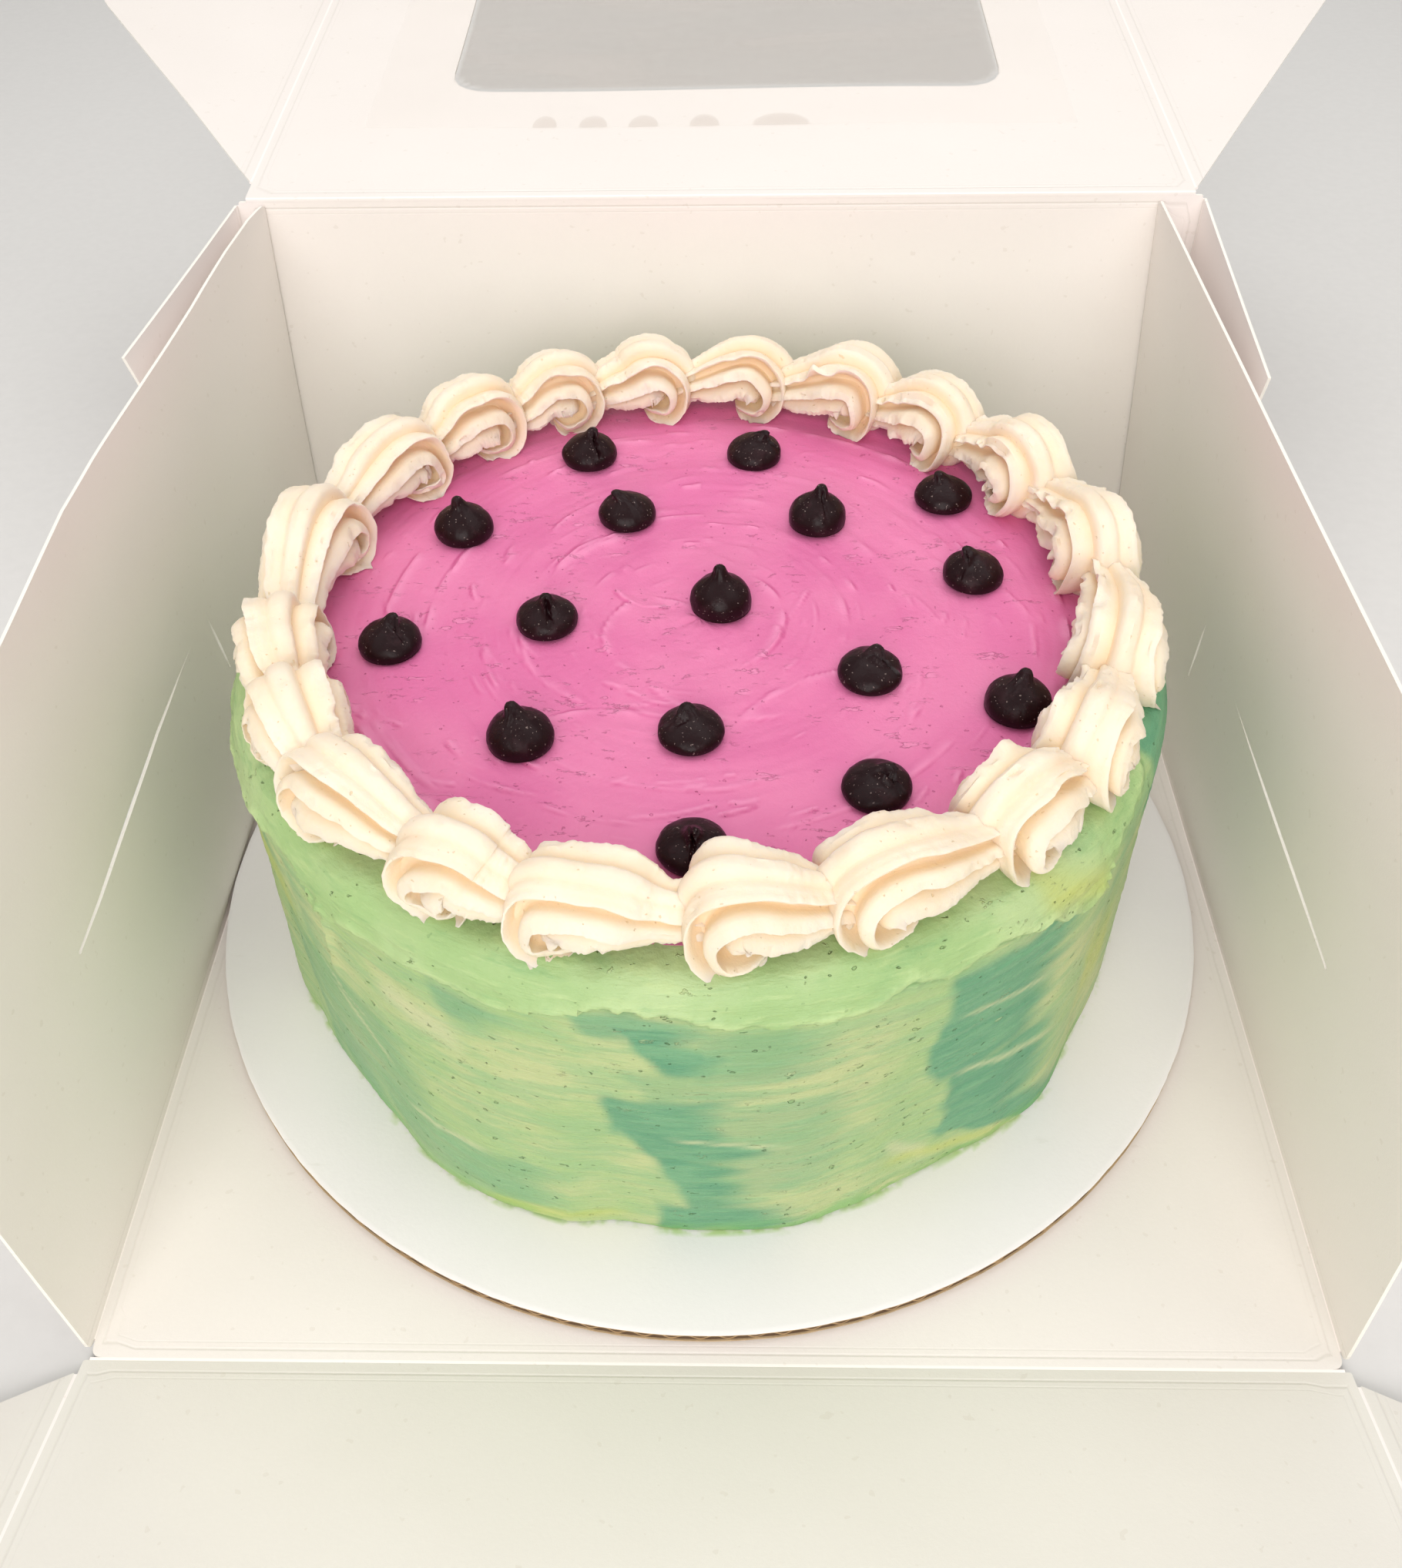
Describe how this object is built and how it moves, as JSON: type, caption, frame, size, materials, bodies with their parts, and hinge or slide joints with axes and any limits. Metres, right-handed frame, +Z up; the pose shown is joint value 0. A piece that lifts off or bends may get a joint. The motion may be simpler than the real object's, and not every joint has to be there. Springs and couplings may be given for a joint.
{
  "type": "round cake in box",
  "caption": "Round buttercream cake with a piped shell border and chocolate chips, on a cake board in an open paperboard box with a window lid.",
  "frame": {"origin": "middle of the base panel's underside, on the surface that the box stands on", "axes": "+Z up, +Y towards the lid's hinge, -Y towards the lowered front wall, +X to the right seen from the front"},
  "size_m": [0.4224, 0.6862, 0.1498],
  "materials": {
    "paperboard": "matte",
    "window_film": "gloss",
    "board_paper": "matte",
    "green_icing": "satin",
    "pink_icing": "satin",
    "cream_icing": "satin",
    "chocolate": "satin"
  },
  "bodies": {
    "carton": {"base_panel": "paperboard", "back_wall": "paperboard", "back_ear_left": "paperboard", "cake_board": "board_paper", "cake": "green_icing", "pink_icing": "pink_icing", "piped_border": "cream_icing", "chip_01": "chocolate", "chip_02": "chocolate", "chip_03": "chocolate", "chip_04": "chocolate", "chip_05": "chocolate", "chip_06": "chocolate", "chip_07": "chocolate", "chip_08": "chocolate", "chip_09": "chocolate", "chip_10": "chocolate", "chip_11": "chocolate", "chip_12": "chocolate", "chip_13": "chocolate", "chip_14": "chocolate", "chip_15": "chocolate", "chip_16": "chocolate"},
    "side_wall_left": {"side_wall_left": "paperboard"},
    "side_wall_right": {"side_wall_right": "paperboard"},
    "back_ear_right": {"back_ear_right": "paperboard"},
    "lid": {"lid_panel": "paperboard", "window_film": "window_film"},
    "lid_flap_left": {"lid_flap_left": "paperboard"},
    "lid_flap_right": {"lid_flap_right": "paperboard"},
    "lid_tuck_flap": {"lid_tuck_flap": "paperboard"},
    "front_wall": {"front_wall": "paperboard"},
    "front_ear_left": {"front_ear_left": "paperboard"},
    "front_ear_right": {"front_ear_right": "paperboard"}
  },
  "joints": [
    {"name": "lid_fold", "type": "hinge", "parent": "carton", "child": "lid", "pos_m": [0, 0.13135, 0.1284], "axis": [1, 0, 0], "range_deg": [-25, 176]},
    {"name": "lid_flap_left_fold", "type": "hinge", "parent": "lid", "child": "lid_flap_left", "pos_m": [-0.12855, 0.13135, 0.1284], "axis": [0, 0.9976, 0.0698], "range_deg": [0, 90]},
    {"name": "lid_flap_right_fold", "type": "hinge", "parent": "lid", "child": "lid_flap_right", "pos_m": [0.12855, 0.13135, 0.1284], "axis": [0, -0.9976, -0.0698], "range_deg": [0, 90]},
    {"name": "lid_tuck_fold", "type": "hinge", "parent": "lid", "child": "lid_tuck_flap", "pos_m": [0, 0.39221, 0.14664], "axis": [1, 0, 0], "range_deg": [0, 90]},
    {"name": "front_wall_fold", "type": "hinge", "parent": "carton", "child": "front_wall", "pos_m": [0, -0.13135, 0.00035], "axis": [-1, 0, 0], "range_deg": [-14.5, 75]},
    {"name": "front_ear_left_fold", "type": "hinge", "parent": "front_wall", "child": "front_ear_left", "pos_m": [-0.13065, -0.13135, 0.00035], "axis": [0, 0.9659, -0.2588], "range_deg": [0, 90]},
    {"name": "front_ear_right_fold", "type": "hinge", "parent": "front_wall", "child": "front_ear_right", "pos_m": [0.13065, -0.13135, 0.00035], "axis": [0, -0.9659, 0.2588], "range_deg": [0, 90]},
    {"name": "side_wall_left_lean", "type": "hinge", "parent": "carton", "child": "side_wall_left", "pos_m": [-0.12955, 0, 0.00035], "axis": [0, 1, 0], "range_deg": [-0.85, 0.15]},
    {"name": "side_wall_right_lean", "type": "hinge", "parent": "carton", "child": "side_wall_right", "pos_m": [0.12955, 0, 0.00035], "axis": [0, 1, 0], "range_deg": [-0.75, 5.05]},
    {"name": "back_ear_right_turn", "type": "hinge", "parent": "carton", "child": "back_ear_right", "pos_m": [0.13065, 0.13135, 0.064], "axis": [0, 0, 1], "range_deg": [-0.5, 3.35]}
  ],
  "couplings": [
    {"joint": "side_wall_left_lean", "follows": "lid_fold", "ratio": -0.0045455},
    {"joint": "side_wall_right_lean", "follows": "lid_fold", "ratio": 0.028409},
    {"joint": "back_ear_right_turn", "follows": "lid_fold", "ratio": 0.01875}
  ]
}
